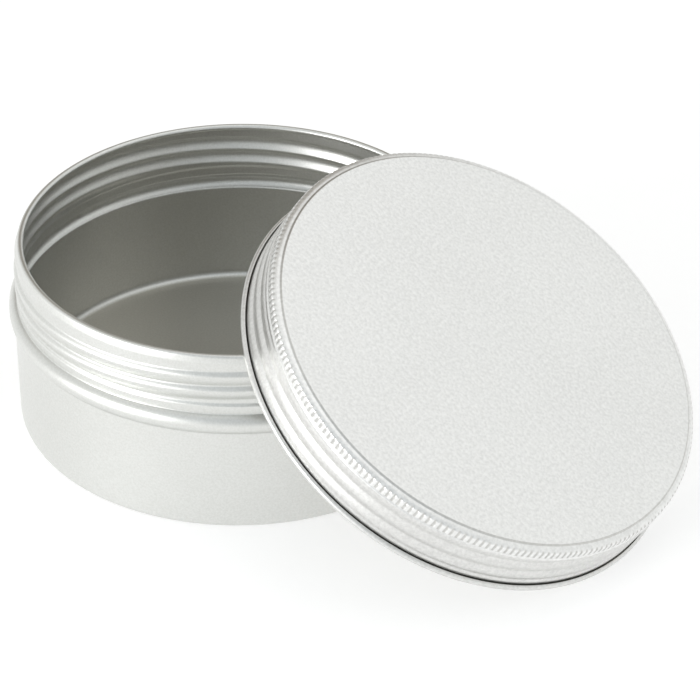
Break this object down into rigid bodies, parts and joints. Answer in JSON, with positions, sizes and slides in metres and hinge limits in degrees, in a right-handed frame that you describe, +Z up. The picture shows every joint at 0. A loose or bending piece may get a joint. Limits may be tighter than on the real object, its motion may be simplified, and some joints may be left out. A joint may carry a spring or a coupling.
{
  "type": "candle tin",
  "caption": "Empty seamless screw-top aluminium tin for a candle, with its ribbed screw lid taken off and leaned on the rim.",
  "frame": {"origin": "centre of the tin's base, on the surface that it stands on", "axes": "+Z up along the tin's axis, +X from the tin's axis towards the foot of the leaning lid, the object's longest direction"},
  "size_m": [0.1281, 0.083, 0.0519],
  "materials": {
    "tin_aluminium": "satin",
    "lid_aluminium": "satin",
    "liner_foam": "matte"
  },
  "bodies": {
    "tin": {"tin_body": "tin_aluminium"},
    "liner": {"lid_liner": "liner_foam"},
    "lid": {"lid_shell": "lid_aluminium"}
  },
  "joints": [
    {"name": "lid_swing", "type": "hinge", "parent": "tin", "child": "liner", "pos_m": [-0.00832, 0, -0.05275], "axis": [0, -1, 0], "range_deg": [0, 31.3]},
    {"name": "lid_spin", "type": "hinge", "parent": "liner", "child": "lid", "pos_m": [0.04646, 0, 0.02132], "axis": [0.5196, 0, 0.8544], "continuous": true}
  ]
}
